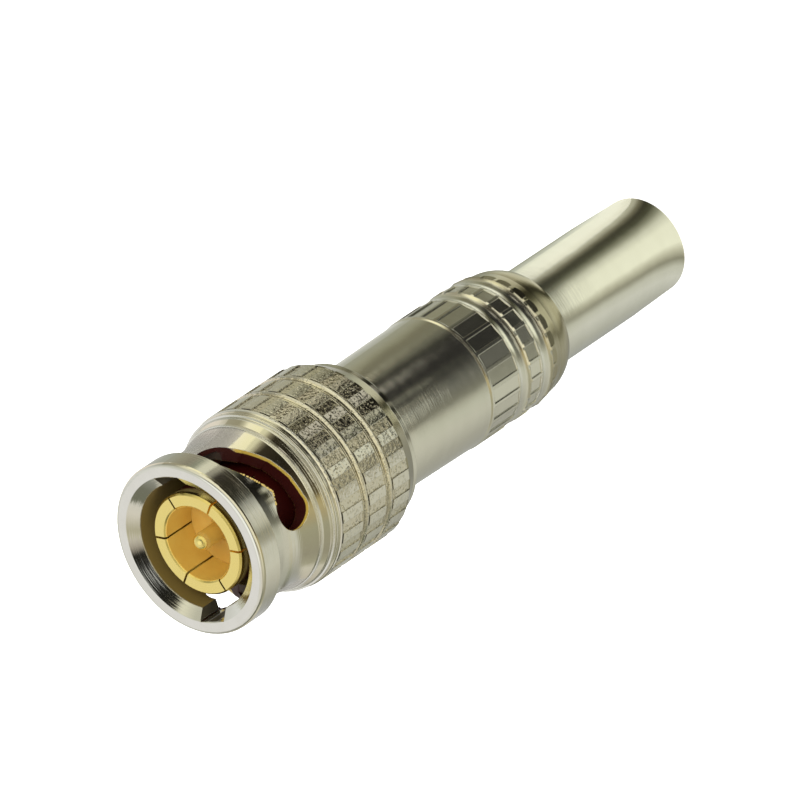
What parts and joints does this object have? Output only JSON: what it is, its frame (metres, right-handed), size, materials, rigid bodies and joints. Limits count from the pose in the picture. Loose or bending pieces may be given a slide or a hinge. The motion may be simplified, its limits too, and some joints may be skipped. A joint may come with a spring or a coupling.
{
  "type": "bnc connector",
  "caption": "Bayonet coaxial plug with a spring-loaded coupling nut, split contact and centre pin, screw-on grip barrel and plain metal tail.",
  "frame": {"origin": "centre of the tail tube's end face, on the axis, at the bottom of the standing plug", "axes": "+Z along the axis from the tail to the mating face; +X through one of the two bayonet entry channels"},
  "size_m": [0.0144, 0.0144, 0.0555],
  "materials": {
    "polished_nickel": "polished nickel plate",
    "satin_nickel": "satin turned nickel plate",
    "gold_plate": "gold plate",
    "amber_plastic": "amber insulating plastic",
    "white_plastic": "white insulating plastic",
    "spring_steel": "bright spring steel",
    "red_rubber": "dark red silicone"
  },
  "bodies": {
    "rear_shell": {"barrel": "satin_nickel", "tail_tube": "satin_nickel"},
    "carrier": {"insulating_sleeve": "white_plastic"},
    "core": {"connector_body": "gold_plate", "split_contact": "gold_plate", "centre_pin": "gold_plate", "front_insulator": "amber_plastic", "rear_insulator": "white_plastic", "sealing_gasket": "red_rubber", "cable_clamp": "gold_plate", "spring_washer": "spring_steel"},
    "slider": {"thrust_washer": "spring_steel"},
    "nut": {"coupling_nut": "polished_nickel", "retaining_ring": "spring_steel"}
  },
  "joints": [
    {"name": "shell_advance", "type": "slide", "parent": "rear_shell", "child": "carrier", "axis": [0, 0, 1], "range_m": [0, 0.0045]},
    {"name": "shell_thread", "type": "hinge", "parent": "carrier", "child": "core", "pos_m": [0, 0, 0], "axis": [0, 0, 1], "range_deg": [0, 2161]},
    {"name": "nut_travel", "type": "slide", "parent": "core", "child": "slider", "axis": [0, 0, 1], "range_m": [0, 0.0008], "stiffness_N_per_m": 9000, "deforming": ["spring_washer"]},
    {"name": "nut_turn", "type": "hinge", "parent": "slider", "child": "nut", "pos_m": [0, 0, 0], "axis": [0, 0, 1], "continuous": true}
  ],
  "couplings": [
    {"joint": "shell_thread", "follows": "shell_advance", "rad_per_m": 8377.6}
  ]
}
